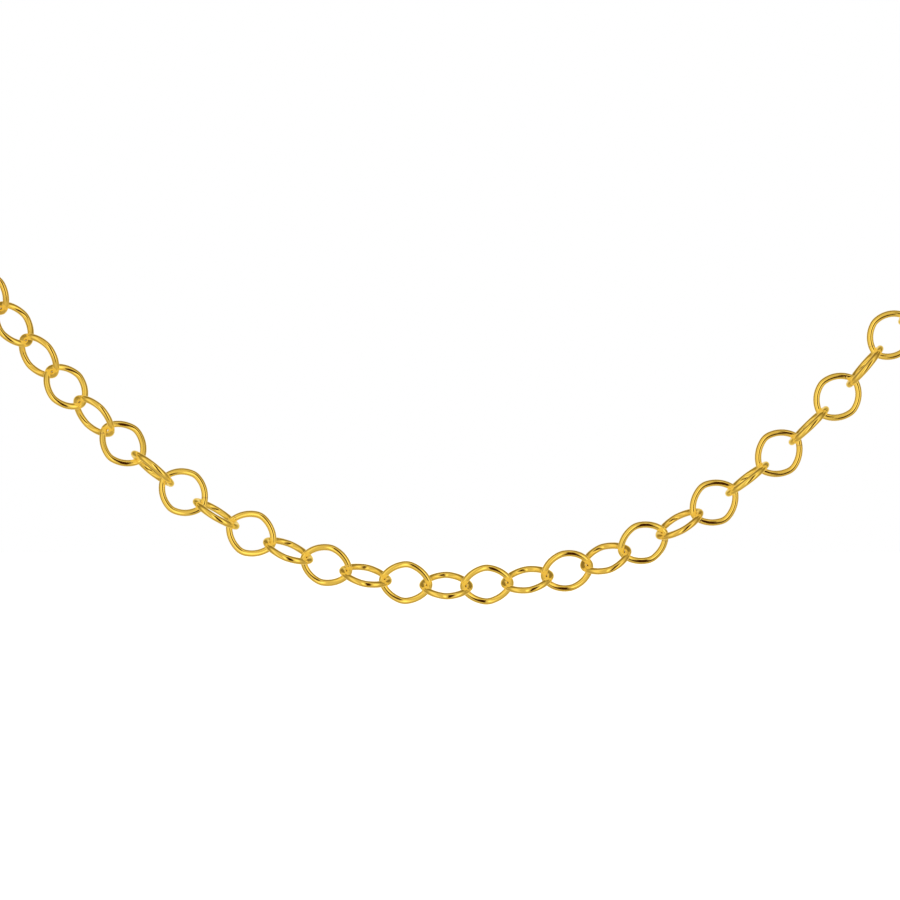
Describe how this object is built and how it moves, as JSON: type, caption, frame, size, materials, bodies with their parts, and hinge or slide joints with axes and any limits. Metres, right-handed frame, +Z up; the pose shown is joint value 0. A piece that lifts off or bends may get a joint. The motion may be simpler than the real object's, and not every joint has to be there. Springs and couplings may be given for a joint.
{
  "type": "rolo chain necklace",
  "caption": "Closed rolo chain necklace of open, softly pointed round-wire links, each turned against the next, hanging in one loop with a plain ring clasp at the nape.",
  "frame": {"origin": "the nape: the middle of the back of the loop, where the necklace lies on the back of the neck", "axes": "+Z up, -Y to the front where the chain hangs, +X to the right of a viewer in front, which is the wearer's left"},
  "size_m": [0.1204, 0.1094, 0.1082],
  "materials": {
    "link_gold": "polished yellow gold wire with soft hand-formed waviness",
    "clasp_gold": "polished yellow gold"
  },
  "bodies": {
    "root": {"chain_left": "link_gold", "chain_right": "link_gold", "clasp": "clasp_gold"}
  },
  "joints": []
}
